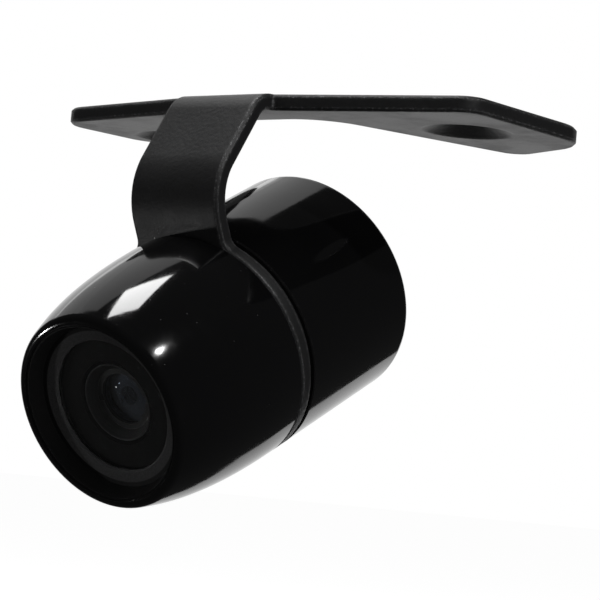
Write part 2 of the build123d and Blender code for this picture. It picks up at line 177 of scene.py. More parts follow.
class StudioSettings(PropertyGroup):
    """Lights, floor and camera."""
    backdrop_power: FloatProperty(name="Backdrop", description="Power of the bright backdrop",
                                  default=0.75, unit="POWER")
    left_power: FloatProperty(name="Left softbox", description="Power of the broad softbox on the left",
                              default=0.20, unit="POWER")
    catch_power: FloatProperty(name="Catchlight", description="Power of the small lamp that the lens shows",
                               default=0.006, unit="POWER", precision=4)
    low_power: FloatProperty(name="Low fill", description="Power of the dim fill from below on the right",
                             default=0.07, unit="POWER")
    overhead_power: FloatProperty(name="Overhead softbox", description="Power of the softbox above",
                                  default=0.30, unit="POWER")
    side_power: FloatProperty(name="Side lamp", description="Power of the small lamp on the right",
                              default=0.24, unit="POWER")
    fill_power: FloatProperty(name="Front fill", description="Power of the dim fill from the front left",
                              default=0.30, unit="POWER")
    floor: colour("Floor colour", "Colour of the plain floor", (0.90, 0.90, 0.90))
    floor_gap: length("Floor gap", "How far the floor is below the object", 38.0)
    azimuth: angle("View azimuth", "Where the viewer stands, round the object", 37.4547)
    elevation: angle("View elevation", "Height of the viewer's eye as an angle", -4.1595)
    roll: angle("View roll", "How far the picture is turned", 4.9610)
    distance: length("View distance", "From the aimed point to the viewer", 236.762)
    aim: FloatVectorProperty(name="Aim", description="The point looked at", subtype="TRANSLATION",
                             default=(7.4765 * MM, -9.9943 * MM, -19.8341 * MM), precision=5)
    focal_length: FloatProperty(name="Focal length", description="Focal length in millimetres on a 36 mm "
                                "sensor", default=144.0, min=10.0, max=500.0)


class CameraPartsSettings(PropertyGroup):
    """Everything that can be changed."""
    coat: PointerProperty(type=BracketCoatSettings)
    shell: PointerProperty(type=ShellSettings)
    plastic: PointerProperty(type=PlasticSettings)
    glass: PointerProperty(type=GlassSettings)
    board: PointerProperty(type=BoardSettings)
    grommet: PointerProperty(type=GrommetSettings)
    studio: PointerProperty(type=StudioSettings)


# ---------------------------------------------------------------- shader node groups
class NodeMaker:
    """Short ways to add and link nodes in one node tree."""

    def __init__(self, tree):
        self.tree = tree

    def add(self, kind, **settings):
        node = self.tree.nodes.new(kind)
        for name, value in settings.items():
            setattr(node, name, value)
        return node

    def put(self, socket, value):
        """Links a socket to another, or sets it to a plain value."""
        if isinstance(value, bpy.types.NodeSocket):
            self.tree.links.new(value, socket)
        else:
            socket.default_value = value

    def math(self, operation, *values, clamp=False):
        node = self.add("ShaderNodeMath", operation=operation, use_clamp=clamp)
        for socket, value in zip(node.inputs, values):
            self.put(socket, value)
        return node.outputs["Value"]

    def vector(self, operation, first, second, output="Vector"):
        node = self.add("ShaderNodeVectorMath", operation=operation)
        self.put(node.inputs[0], first)
        self.put(node.inputs[1], second)
        return node.outputs[output]

    def remap(self, value, low, high, to_low=0.0, to_high=1.0):
        node = self.add("ShaderNodeMapRange", interpolation_type="SMOOTHSTEP")
        for name, given in (("Value", value), ("From Min", low), ("From Max", high), ("To Min", to_low),
                            ("To Max", to_high)):
            self.put(node.inputs[name], given)
        return node.outputs["Result"]

    def mix(self, factor, first, second):
        node = self.add("ShaderNodeMix", data_type="RGBA")
        self.put(node.inputs["Factor"], factor)
        self.put(node.inputs[MIX_FIRST], opaque(first))
        self.put(node.inputs[MIX_SECOND], opaque(second))
        return node.outputs[MIX_RESULT]

    def cover(self, under, over, mask, amount):
        """One colour covered by another, by an amount where the mask is 1."""
        return self.mix(self.math("MULTIPLY", mask, amount), under, over)

    def raised(self, value, mask, amount):
        """A value with an amount added where the mask is 1."""
        return self.math("ADD", value, self.math("MULTIPLY", mask, amount))

    def lowered(self, value, mask, amount):
        """A value with an amount taken off where the mask is 1."""
        return self.math("SUBTRACT", value, self.math("MULTIPLY", mask, amount))

    def scaled_place(self, size):
        """Object coordinates counted in steps of one size."""
        place = self.add("ShaderNodeTexCoord").outputs["Object"]
        steps = self.math("DIVIDE", 1.0, size)
        node = self.add("ShaderNodeVectorMath", operation="SCALE")
        self.put(node.inputs[0], place)
        self.put(node.inputs["Scale"], steps)
        return node.outputs["Vector"]

    def noise(self, place, detail=2.0, roughness=0.5):
        node = self.add("ShaderNodeTexNoise")
        self.put(node.inputs["Vector"], place)
        node.inputs["Scale"].default_value = 1.0
        node.inputs["Detail"].default_value = detail
        node.inputs["Roughness"].default_value = roughness
        return node.outputs["Fac"]

    def cells(self, place, feature="F1", scale=1.0, randomness=1.0):
        """Scattered cells: their distances and a colour drawn for each."""
        node = self.add("ShaderNodeTexVoronoi", feature=feature)
        node.inputs["Scale"].default_value = scale
        node.inputs["Randomness"].default_value = randomness
        self.put(node.inputs["Vector"], place)
        return node.outputs

    def channels(self, tint):
        node = self.add("ShaderNodeSeparateColor")
        self.put(node.inputs["Color"], tint)
        return node.outputs


def opaque(value):
    """A colour with its alpha, or the socket itself."""
    return value if isinstance(value, bpy.types.NodeSocket) else (*value[:3], 1.0)


def toned(tint, factor):
    """A colour made darker or lighter by a factor."""
    return [min(1.0, factor * part) for part in tint]


def new_group(name, inputs, outputs, normal=None):
    """A node group with named inputs and outputs: (group, its maker, its inputs, its outputs).

    Inputs and outputs are floats; normal names one more output, a vector.
    """
    group = bpy.data.node_groups.new(name, "ShaderNodeTree")
    for label, default in inputs:
        socket = group.interface.new_socket(name=label, in_out="INPUT", socket_type="NodeSocketFloat")
        socket.default_value = default
    for label in outputs:
        group.interface.new_socket(name=label, in_out="OUTPUT", socket_type="NodeSocketFloat")
    if normal:
        group.interface.new_socket(name=normal, in_out="OUTPUT", socket_type="NodeSocketVector")
    maker = NodeMaker(group)
    given = maker.add("NodeGroupInput").outputs
    results = maker.add("NodeGroupOutput").inputs
    return group, maker, given, results


def grain_group():
    """Fine and coarse grain, as a height and as a slight change of shade."""
    group, maker, given, results = new_group(
        "Surface Grain", [("Size", 0.0004), ("Fine Size", 0.0001), ("Fine Share", 0.4)], ["Height", "Shade"]
    )
    coarse = maker.noise(maker.scaled_place(given["Size"]), detail=1.0)
    fine = maker.noise(maker.scaled_place(given["Fine Size"]), detail=3.0, roughness=0.6)
    maker.put(results["Height"], maker.raised(coarse, fine, given["Fine Share"]))
    maker.put(results["Shade"], maker.remap(fine, 0.3, 0.7))
    return group


def smudge_group():
    """Wiped patches and specks of dust, as two masks."""
    group, maker, given, results = new_group(
        "Handling Marks", [("Patch Size", 0.006), ("Speck Spacing", 0.0009), ("Speck Radius", 0.05)],
        ["Patches", "Specks"]
    )
    broad = maker.noise(maker.scaled_place(given["Patch Size"]), detail=3.0, roughness=0.65)
    maker.put(results["Patches"], maker.remap(broad, 0.42, 0.68))
    cells = maker.cells(maker.scaled_place(given["Speck Spacing"]))
    near = maker.math("LESS_THAN", cells["Distance"], given["Speck Radius"])
    chosen = maker.math("GREATER_THAN", maker.channels(cells["Color"])["Red"], 0.72)
    maker.put(results["Specks"], maker.math("MULTIPLY", near, chosen))
    return group


def edge_group():
    """Masks along sharp edges, one clean and one broken up by noise like wear, and a normal that rounds them."""
    group, maker, given, results = new_group(
        "Edge Masks", [("Width", 0.0003), ("Break Size", 0.0006), ("Break Up", 0.6)],
        ["Mask", "Clean Mask"], normal="Rounded Normal"
    )
    bevel = maker.add("ShaderNodeBevel", samples=6)
    maker.put(bevel.inputs["Radius"], given["Width"])
    true_normal = maker.add("ShaderNodeNewGeometry").outputs["Normal"]
    facing = maker.vector("DOT_PRODUCT", bevel.outputs["Normal"], true_normal, "Value")
    clean = maker.remap(maker.math("SUBTRACT", 1.0, facing), 0.01, 0.16)
    patches = maker.noise(maker.scaled_place(given["Break Size"]), detail=3.0, roughness=0.7)
    broken = maker.math("MULTIPLY", maker.remap(patches, 0.40, 0.62), given["Break Up"])
    kept = maker.math("SUBTRACT", 1.0, given["Break Up"])
    maker.put(results["Mask"], maker.math("MULTIPLY", clean, maker.math("ADD", kept, broken)))
    maker.put(results["Clean Mask"], clean)
    maker.put(results["Rounded Normal"], bevel.outputs["Normal"])
    return group


def turned_group():
    """Fine lines round the camera's axis, as turned and moulded parts have, and the distance from it."""
    group, maker, given, results = new_group(
        "Turned Lines", [("Pitch", 0.00012), ("Unevenness", 0.5)], ["Height", "Radius"]
    )
    place = maker.add("ShaderNodeTexCoord").outputs["Object"]
    offset = maker.vector("SUBTRACT", place, BARREL_CENTRE)
    along = maker.vector("DOT_PRODUCT", offset, REARWARD, "Value")
    full = maker.add("ShaderNodeVectorMath", operation="LENGTH")
    maker.put(full.inputs[0], offset)
    squares = maker.math("SUBTRACT", maker.math("POWER", full.outputs["Value"], 2.0),
                         maker.math("POWER", along, 2.0))
    radius = maker.math("SQRT", maker.math("MAXIMUM", squares, 0.0))
    travel = maker.math("ADD", along, radius)
    pitches = maker.math("DIVIDE", travel, given["Pitch"])
    wave = maker.math("SINE", maker.math("MULTIPLY", pitches, math.tau))
    line = maker.add("ShaderNodeCombineXYZ")
    maker.put(line.inputs["X"], pitches)
    uneven = maker.math("MULTIPLY", maker.noise(line.outputs["Vector"], detail=4.0), given["Unevenness"])
    maker.put(results["Height"], maker.math("ADD", maker.math("MULTIPLY", wave, 0.5), uneven))
    maker.put(results["Radius"], radius)
    return group


class Finish(NodeMaker):
    """A material in the making: a Principled shader and the nodes that feed it."""

    groups = {}

    def __init__(self, name, **sockets):
        self.material = bpy.data.materials.new(name)
        self.material.use_nodes = True
        super().__init__(self.material.node_tree)
        self.shader = self.tree.nodes["Principled BSDF"]
        for label, value in sockets.items():
            self.feed(label.replace("_", " "), opaque(value) if label == "Base_Color" else value)

    def feed(self, label, value):
        """Links or sets one of the shader's inputs."""
        self.put(self.shader.inputs[label], value)

    def group(self, builder, **values):
        """Places a shared node group with its own values, building the group the first time."""
        if builder not in Finish.groups:
            Finish.groups[builder] = builder()
        node = self.add("ShaderNodeGroup", node_tree=Finish.groups[builder])
        for label, value in values.items():
            self.put(node.inputs[label.replace("_", " ")], value)
        return node.outputs

    def bump(self, height, distance, strength=1.0, onto=None):
        """Feeds the shader's normal from a height, in metres, on top of another bump if one is given."""
        node = self.add("ShaderNodeBump")
        node.inputs["Strength"].default_value = strength
        node.inputs["Distance"].default_value = distance
        self.put(node.inputs["Height"], height)
        if onto is not None:
            self.put(node.inputs["Normal"], onto)
        self.feed("Normal", node.outputs["Normal"])
        return node.outputs["Normal"]


# ---------------------------------------------------------------- finishes
def bracket_coat(settings):
    """Satin powder coat with orange peel, thin and flecked along the edges."""
    finish = Finish("bracket_coat")
    grain = finish.group(grain_group, Size=settings.peel_size, Fine_Size=settings.grain_size, Fine_Share=0.5)
    edges = finish.group(edge_group, Width=0.55 * MM, Break_Size=0.5 * MM, Break_Up=0.75)
    marks = finish.group(smudge_group, Patch_Size=7 * MM, Speck_Spacing=1.3 * MM, Speck_Radius=0.045)
    flecks = finish.channels(finish.cells(finish.scaled_place(settings.fleck_size))["Color"])
    fleck = finish.remap(flecks["Green"], 0.55, 0.95)
    worn = finish.math("MULTIPLY", edges["Mask"], finish.math("ADD", 0.25, fleck), clamp=True)
    shaded = finish.mix(grain["Shade"], settings.base, toned(settings.base, 1.9))
    dusty = finish.cover(shaded, (0.09, 0.09, 0.088), marks["Specks"], 0.5)
    finish.feed("Base Color", finish.mix(worn, dusty, settings.worn))
    rough = finish.raised(settings.roughness, marks["Patches"], 0.07)
    varied = finish.raised(rough, grain["Shade"], 0.06)
    finish.feed("Roughness", finish.lowered(varied, worn, 0.10))
    finish.feed("Metallic", finish.math("MULTIPLY", worn, 0.5))
    speckled = finish.math("MULTIPLY", flecks["Red"], edges["Clean Mask"])
    height = finish.raised(grain["Height"], speckled, 1.4)
    finish.bump(height, 0.022 * MM, onto=edges["Rounded Normal"])
    return finish.material


def gloss_shell(settings):
    """Deep gloss black with faint ripples, wiped patches and a few specks of dust."""
    finish = Finish("gloss_shell", IOR=1.5)
    ripples = finish.group(grain_group, Size=settings.ripple_size, Fine_Size=0.25 * MM, Fine_Share=0.10)
    marks = finish.group(smudge_group, Patch_Size=5 * MM, Speck_Spacing=settings.dust_size, Speck_Radius=0.05)
    edges = finish.group(edge_group, Width=0.14 * MM, Break_Size=0.5 * MM, Break_Up=0.6)
    surface_colour = finish.cover(settings.base, (0.05, 0.05, 0.05), edges["Mask"], 0.5)
    finish.feed("Base Color", finish.cover(surface_colour, (0.10, 0.10, 0.10), marks["Specks"], 0.45))
    wiped = finish.raised(settings.roughness, marks["Patches"], 0.045)
    finish.feed("Roughness", finish.raised(wiped, marks["Specks"], 0.25))
    finish.bump(ripples["Height"], 0.004 * MM)
    return finish.material


def moulded_black(name, base, roughness, grain_size, pitch=None, depth=0.010, wear_and_highlight=3.0, shine=0.5,
                  painted_shade_from=None):
    """Moulded or turned black plastic: grain, paler edges and, with a pitch, turned lines.

    The depth of the grain is in millimetres; shine is the gloss. The edge factor is how much paler the edges are:
    wear, and on the lens barrel also painted highlight.
    Beyond a given radius round the camera's axis, the part's colour is darkened as painted shade.
    """
    finish = Finish(name, Specular_IOR_Level=shine)
    grain = finish.group(grain_group, Size=3 * grain_size, Fine_Size=grain_size, Fine_Share=0.9)
    edges = finish.group(edge_group, Width=0.12 * MM, Break_Size=0.4 * MM, Break_Up=0.5)
    marks = finish.group(smudge_group, Patch_Size=4 * MM, Speck_Spacing=0.8 * MM, Speck_Radius=0.05)
    shaded = finish.mix(grain["Shade"], toned(base, 0.8), toned(base, 1.25))
    # Paler edges: wear, and on the lens barrel also painted highlight
    surface_colour = finish.cover(shaded, toned(base, wear_and_highlight), edges["Mask"], 0.55)
    # Painted shade: beyond the radius the colour drops to 15% of the base tone
    if painted_shade_from:
        radius = finish.group(turned_group)["Radius"]
        shadowed = finish.remap(radius, painted_shade_from, painted_shade_from + 0.15 * MM)
        surface_colour = finish.mix(shadowed, surface_colour, toned(base, 0.15))
    finish.feed("Base Color", finish.cover(surface_colour, (0.12, 0.12, 0.12), marks["Specks"], 0.4))
    varied = finish.raised(roughness, grain["Shade"], 0.08)
    finish.feed("Roughness", finish.lowered(varied, edges["Mask"], 0.10))
    grained = finish.bump(grain["Height"], depth * MM)
    if pitch:
        lines = finish.group(turned_group, Pitch=pitch, Unevenness=0.8)
        finish.bump(lines["Height"], 0.006 * MM, onto=grained)
    return finish.material


def clear_glass(name, ior, tint, coat_tint=None):
    """Clear glass with faint wipe marks that lamps shine through."""
    finish = Finish(name, Base_Color=tint, IOR=ior)
    finish.feed("Transmission Weight", 1.0)
    marks = finish.group(smudge_group, Patch_Size=2.5 * MM, Speck_Spacing=0.9 * MM, Speck_Radius=0.03)
    finish.feed("Roughness", finish.math("MULTIPLY", marks["Patches"], 0.03))
    if coat_tint:
        finish.feed("Coat Weight", finish.raised(0.5, marks["Patches"], 0.2))
        finish.feed("Coat Tint", opaque(coat_tint))
    path = finish.add("ShaderNodeLightPath")
    clear = finish.add("ShaderNodeBsdfTransparent")
    chooser = finish.add("ShaderNodeMixShader")
    finish.put(chooser.inputs[0], path.outputs["Is Shadow Ray"])
    finish.put(chooser.inputs[1], finish.shader.outputs["BSDF"])
    finish.put(chooser.inputs[2], clear.outputs["BSDF"])
    finish.put(finish.tree.nodes["Material Output"].inputs["Surface"], chooser.outputs["Shader"])
    return finish.material


def circuit_board(settings):
    """Solder mask over copper tracks, with round vias."""
    finish = Finish("board_green")
    place = finish.scaled_place(settings.track_pitch)
    borders = finish.cells(place, feature="DISTANCE_TO_EDGE", scale=0.8, randomness=0.55)
    track = finish.remap(borders["Distance"], 0.10, 0.14, 1.0, 0.0)
    spots = finish.cells(place, scale=0.45)
    via = finish.remap(spots["Distance"], 0.10, 0.13, 1.0, 0.0)
    masked = finish.mix(track, settings.mask, settings.track)
    finish.feed("Base Color", finish.mix(via, masked, (0.72, 0.70, 0.66)))
    finish.feed("Metallic", finish.math("MULTIPLY", via, 0.9))
    finish.feed("Roughness", finish.lowered(0.36, track, 0.06))
    finish.bump(finish.raised(track, via, 0.6), 0.02 * MM)
    return finish.material


def bare_metal(name, base, roughness, pitch=0.10 * MM):
    """Bright turned or pressed metal with fine lines, patches of tarnish and dull specks."""
    finish = Finish(name)
    lines = finish.group(turned_group, Pitch=pitch, Unevenness=1.2)
    marks = finish.group(smudge_group, Patch_Size=1.5 * MM, Speck_Spacing=0.5 * MM, Speck_Radius=0.06)
    finish.feed("Metallic", finish.lowered(1.0, marks["Specks"], 0.3))
    finish.feed("Base Color", finish.mix(marks["Patches"], base, toned(base, 0.72)))
    finish.feed("Roughness", finish.raised(roughness, marks["Patches"], 0.12))
    finish.bump(lines["Height"], 0.004 * MM)
    return finish.material


def fine_grained(name, base, roughness, grain_size, depth=0.006, speckle=None):
    """Nylon, ceramic or ferrite: a fine grain, paler edges and, if given, speckles of another tone.

    The depth of the grain is in millimetres.
    """
    finish = Finish(name)
    grain = finish.group(grain_group, Size=6 * grain_size, Fine_Size=grain_size, Fine_Share=0.8)
    edges = finish.group(edge_group, Width=0.10 * MM, Break_Size=0.3 * MM, Break_Up=0.4)
    marks = finish.group(smudge_group, Patch_Size=2 * MM, Speck_Spacing=0.35 * MM, Speck_Radius=0.12)
    shaded = finish.mix(grain["Shade"], toned(base, 0.88), base)
    if speckle:
        shaded = finish.cover(shaded, speckle, marks["Specks"], 0.7)
    finish.feed("Base Color", finish.cover(shaded, toned(base, 1.15), edges["Mask"], 0.5))
    finish.feed("Roughness", finish.raised(roughness, marks["Patches"], 0.10))
    finish.bump(grain["Height"], depth * MM)
    return finish.material


def dress(slots):
    """Gives every CAD node of these slots its finish; slots maps a slot's name to a material."""
    found = [node for node, slot in NODE_SLOTS.items() if slot in slots]
    if not found:
        raise RuntimeError(f"the frame has no node with a slot in {sorted(slots)}")
    for node in found:
        materials = frame["nodes"][node].data.materials
        materials.clear()
        materials.append(slots[NODE_SLOTS[node]])


# ---------------------------------------------------------------- mesh tools
def on_barrel(station, x=0.0, y=0.0):
    """A point from its station along the camera's axis, to the rear, and its place across it."""
    return BARREL_CENTRE + REARWARD * station + Vector((1, 0, 0)) * x + UPWARD * y


def add_piece(name, mesh_maker, body, slot, replaced=()):
    """A mesh piece made in a bmesh, riding on a body, with its slot's finish and the nodes it replaces."""
    form = bmesh.new()
    mesh_maker(form)
    bmesh.ops.remove_doubles(form, verts=form.verts, dist=1e-7)
    bmesh.ops.recalc_face_normals(form, faces=form.faces)
    mesh = bpy.data.meshes.new(name)
    form.to_mesh(mesh)
    form.free()
    mesh.shade_smooth()
    mesh.set_sharp_from_angle(angle=math.radians(32))
    piece = bpy.data.objects.new(name, mesh)
    bpy.context.scene.collection.objects.link(piece)
    mesh.materials.append(bpy.data.materials[slot])
    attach(piece, body)
    if replaced:
        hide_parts(*replaced)
    return piece


def skin(form, rings, joined=True):
    """Faces between each ring of vertices and the next and, if joined, from the last back to the first."""
    following = rings[1:] + rings[:1] if joined else rings[1:]
    for here, there in zip(rings, following):
        for side in range(len(here)):
            after = (side + 1) % len(here)
            form.faces.new((here[side], here[after], there[after], there[side]))


def lathe(form, outline, segments):
    """Turns a closed outline of (station, radius) points round the camera's axis."""
    rings = []
    for turn in range(segments):
        spin = math.tau * turn / segments
        places = [on_barrel(station, radius * math.cos(spin), radius * math.sin(spin))
                  for station, radius in outline]
        rings.append([form.verts.new(place) for place in places])
    skin(form, rings)


def rounded(corners, radius, steps=5):
    """A closed outline with its corners rounded; corners are (station, radius) points."""
    longest_cut = 0.45  # of a side, so that two corners never meet
    outline = []
    for index, corner in enumerate(corners):
        here = Vector(corner)
        before = Vector(corners[index - 1]) - here
        after = Vector(corners[(index + 1) % len(corners)]) - here
        cut = min(radius, before.length * longest_cut, after.length * longest_cut)
        start = here + before.normalized() * cut
        end = here + after.normalized() * cut
        for step in range(steps + 1):
            along = step / steps
            outline.append((1 - along) ** 2 * start + 2 * along * (1 - along) * here + along**2 * end)
    return [tuple(point) for point in outline]


def soft_box(form, low, high, edge, segments=3):
    """A box with rounded edges between two corners, each given as (x, y, station) on the barrel."""
    made = bmesh.ops.create_cube(form, size=1.0)["verts"]
    for vertex in made:
        x, y, station = (low[i] + (high[i] - low[i]) * (vertex.co[i] + 0.5) for i in range(3))
        vertex.co = on_barrel(station, x, y)
    edges = list({side for vertex in made for side in vertex.link_edges})
    bmesh.ops.bevel(form, geom=edges, offset=edge, segments=segments, profile=0.6, affect="EDGES",
                    clamp_overlap=True)


def tube(form, points, radius, sides=10):
    """A round tube with closed ends along a list of points."""
    rings = []
    for index, point in enumerate(points):
        ahead = points[min(index + 1, len(points) - 1)] - points[max(index - 1, 0)]
        turn = ahead.to_track_quat("Z", "Y").to_matrix()
        ring = []
        for side in range(sides):
            spin = math.tau * side / sides
            across = turn @ Vector((radius * math.cos(spin), radius * math.sin(spin), 0))
            ring.append(form.verts.new(point + across))
        rings.append(ring)
    skin(form, rings, joined=False)
    form.faces.new(rings[0][::-1])
    form.faces.new(rings[-1])


def barrel_box(node):
    """A CAD node's box on the barrel: lowest and highest (x, y, station)."""
    found = [vertex.co - BARREL_CENTRE for vertex in frame["nodes"][node].data.vertices]
    places = [(co.x, co.dot(UPWARD), co.dot(REARWARD)) for co in found]
    return tuple(map(min, zip(*places))), tuple(map(max, zip(*places)))


# ---------------------------------------------------------------- operators
class CAMERAPARTS_OT_bracket(Operator):
    """Coats the bracket"""
    bl_idname = "cameraparts.bracket"
    bl_label = "Bracket Coat"

    def execute(self, context):
        dress({"bracket_coat": bracket_coat(context.scene.camera_parts.coat)})
        return {"FINISHED"}


class CAMERAPARTS_OT_housings(Operator):
    """Finishes the two gloss housings"""
    bl_idname = "cameraparts.housings"
    bl_label = "Gloss Housings"

    def execute(self, context):
        dress({"gloss_shell": gloss_shell(context.scene.camera_parts.shell)})
        return {"FINISHED"}


class CAMERAPARTS_OT_black_parts(Operator):
    """Finishes the bezel, baffle, gland, nut, lens barrel, holder and seals"""
    bl_idname = "cameraparts.black_parts"
    bl_label = "Bezel, Lens Barrel and Seals"

    def execute(self, context):
        plastic = context.scene.camera_parts.plastic
        dress({
            # The bezel gets painted shade beyond the given radius
            "bezel_black": moulded_black("bezel_black", plastic.bezel, plastic.bezel_roughness,
                                         plastic.grain_size, pitch=0.11 * MM, shine=0.12,
                                         painted_shade_from=plastic.painted_shade_radius),
            "baffle_black": moulded_black("baffle_black", (0.004, 0.004, 0.004), 0.80, plastic.grain_size,
                                          shine=0.05),
            # Edges eight times paler: wear and painted highlight along the lens barrel's edges
            "lens_black": moulded_black("lens_black", plastic.lens, plastic.lens_roughness,
                                        0.08 * MM, pitch=0.08 * MM, wear_and_highlight=8.0, shine=0.15),
            "seal_rubber": moulded_black("seal_rubber", plastic.rubber, 0.62, 0.09 * MM, depth=0.008),
        })
        return {"FINISHED"}


class CAMERAPARTS_OT_glass(Operator):
    """Finishes the window, the lens elements and the infrared filter"""
    bl_idname = "cameraparts.glass"
    bl_label = "Window and Lens Glass"

    def execute(self, context):
        glass = context.scene.camera_parts.glass
        dress({
            "window_glass": clear_glass("window_glass", glass.window_ior, (0.97, 0.985, 0.98)),
            "lens_glass": clear_glass("lens_glass", glass.lens_ior, (0.93, 0.95, 0.97), glass.bloom),
            "filter_glass": clear_glass("filter_glass", glass.window_ior, (0.45, 0.85, 0.80)),
        })
        return {"FINISHED"}


class CAMERAPARTS_OT_inner_parts(Operator):
    """Finishes the boards and the small parts on them"""
    bl_idname = "cameraparts.inner_parts"
    bl_label = "Boards and Inner Parts"

    def execute(self, context):
        board = context.scene.camera_parts.board
        dress({
            "board_green": circuit_board(board),
            "chip_black": moulded_black("chip_black", (0.018, 0.018, 0.020), 0.50, 0.05 * MM, depth=0.004),
            "screw_steel": bare_metal("screw_steel", (0.58, 0.58, 0.57), 0.28),
            "brass": bare_metal("brass", (0.78, 0.57, 0.26), 0.24),
            "washer_white": fine_grained("washer_white", (0.76, 0.75, 0.70), 0.38, 0.10 * MM),
            "socket_plastic": fine_grained("socket_plastic", (0.80, 0.77, 0.66), 0.42, 0.08 * MM),
            "ferrite": fine_grained("ferrite", (0.060, 0.060, 0.064), 0.55, 0.05 * MM, 0.010,
                                  speckle=(0.13, 0.13, 0.13)),
            "capacitor_tan": fine_grained("capacitor_tan", (0.50, 0.33, 0.18), 0.35, 0.04 * MM,
                                        speckle=(0.36, 0.22, 0.12)),
        })
        return {"FINISHED"}


class CAMERAPARTS_OT_grommet(Operator):
    """Makes the ribbed rubber grommet in the rear gland"""
    bl_idname = "cameraparts.grommet"
    bl_label = "Ribbed Grommet"

    def execute(self, context):
        grommet = context.scene.camera_parts.grommet
        (_, _, start), (lip, _, end) = barrel_box("gland_grommet")
        gland_end = barrel_box("cable_gland")[1][2]
        bore = min(math.hypot(vertex.co.x, (vertex.co - BARREL_CENTRE).dot(UPWARD))
                   for vertex in frame["nodes"]["gland_grommet"].data.vertices)
        stem = 0.74 * lip
        taper = 0.05 * MM  # how much lower each rib is than the last
        edge = 0.09 * MM
        # The mouth's slope: depths from the end face and heights above the bore
        mouth = ((0, 0.35 * MM), (0.12 * MM, 0.10 * MM), (0.45 * MM, 0))

        def shape(form):
            corners = [(start, bore), (start, stem), (gland_end, stem), (gland_end, lip)]
            step = (end - gland_end) / (2 * grommet.ribs)
            for rib in range(1, grommet.ribs):
                groove = gland_end + 2 * rib * step
                shoulder = lip - taper * rib
                corners += [(groove - 0.6 * step, shoulder), (groove, shoulder - grommet.rib_depth),
                            (groove + 0.6 * step, shoulder - taper)]
            corners.append((end, lip - 0.30 * MM))
            corners += [(end - depth, bore + height) for depth, height in mouth]
            lathe(form, rounded(corners, edge), grommet.segments)

        add_piece("ribbed_grommet", shape, "rear_cover", "seal_rubber", ["gland_grommet"])
        return {"FINISHED"}


class CAMERAPARTS_OT_seam_bead(Operator):
    """Makes the fine bead of sealant in the seam round the bezel"""
    bl_idname = "cameraparts.seam_bead"
    bl_label = "Bezel Sealant Bead"

    def execute(self, context):
        (_, _, front), (radius, _, _) = barrel_box("front_bezel")
        waviness = random.Random(4)
        waves = [(waviness.randint(5, 23), waviness.uniform(0, math.tau), waviness.uniform(0.2, 1.0))
                 for _ in range(6)]

        sides = 10
        turns = 240
        bead_radius = 0.085 * MM
        unevenness = 0.18
        proud = 0.02 * MM  # the bead's centre, out from the bezel's side
        sunk = 0.045 * MM  # and back from its front

        def shape(form):
            rings = []
            for turn in range(turns):
                spin = math.tau * turn / turns
                swells = [size * math.sin(count * spin + phase) for count, phase, size in waves]
                thick = bead_radius * (1 + unevenness * (sum(swells) / len(waves)))
                ring = []
                for side in range(sides):
                    way = math.tau * side / sides
                    out = radius + proud + thick * math.cos(way)
                    station = front + sunk + thick * math.sin(way)
                    place = on_barrel(station, out * math.cos(spin), out * math.sin(spin))
                    ring.append(form.verts.new(place))
                rings.append(ring)
            skin(form, rings)

        add_piece("seam_bead", shape, "camera", "gloss_shell")
        return {"FINISHED"}


class CAMERAPARTS_OT_processor(Operator):
    """Makes the video processor with its gull-wing legs and pin mark"""
    bl_idname = "cameraparts.processor"
    bl_label = "Video Processor"

    def execute(self, context):
        board = context.scene.camera_parts.board
        low, high = barrel_box("video_processor")
        margin = 0.55 * MM
        foot = 0.09 * MM
        leg_pitch = 0.42 * MM
        edge = 0.07 * MM
        mark_inset = 1.25 * MM
        middle = (low[2] + high[2]) / 2
        reach = (high[0] - low[0]) / 2
        centre = Vector(((low[0] + high[0]) / 2, (low[1] + high[1]) / 2))

        def package(form):
            soft_box(form, (low[0] + margin, low[1] + margin, low[2]),
                     (high[0] - margin, high[1] - margin, high[2] - 0.12 * MM), edge)
            mark = bmesh.ops.create_circle(form, cap_ends=True, radius=0.22 * MM, segments=20)["verts"]
            for vertex in mark:
                vertex.co = on_barrel(low[2] - 0.004 * MM, low[0] + mark_inset + vertex.co.x,
                                      high[1] - mark_inset + vertex.co.y)

        def legs(form):
            # Each leg's way out and down to the board, as (distance from the centre, station)
            route = [(reach - margin - 0.1 * MM, middle), (reach - 0.38 * MM, middle),
                     (reach - 0.26 * MM, high[2] - foot), (reach, high[2] - foot)]
            for side in range(4):
                turn = Matrix.Rotation(side * math.pi / 2, 2)
                for leg in range(board.leg_count):
                    across = (leg - (board.leg_count - 1) / 2) * leg_pitch
                    points = []
                    for out, station in route:
                        flat = centre + turn @ Vector((across, out))
                        points.append(on_barrel(station, flat.x, flat.y))
                    tube(form, points, foot, sides=6)

        add_piece("processor_package", package, "camera", "chip_black", ["video_processor"])
        add_piece("processor_legs", legs, "camera", "screw_steel")
        return {"FINISHED"}


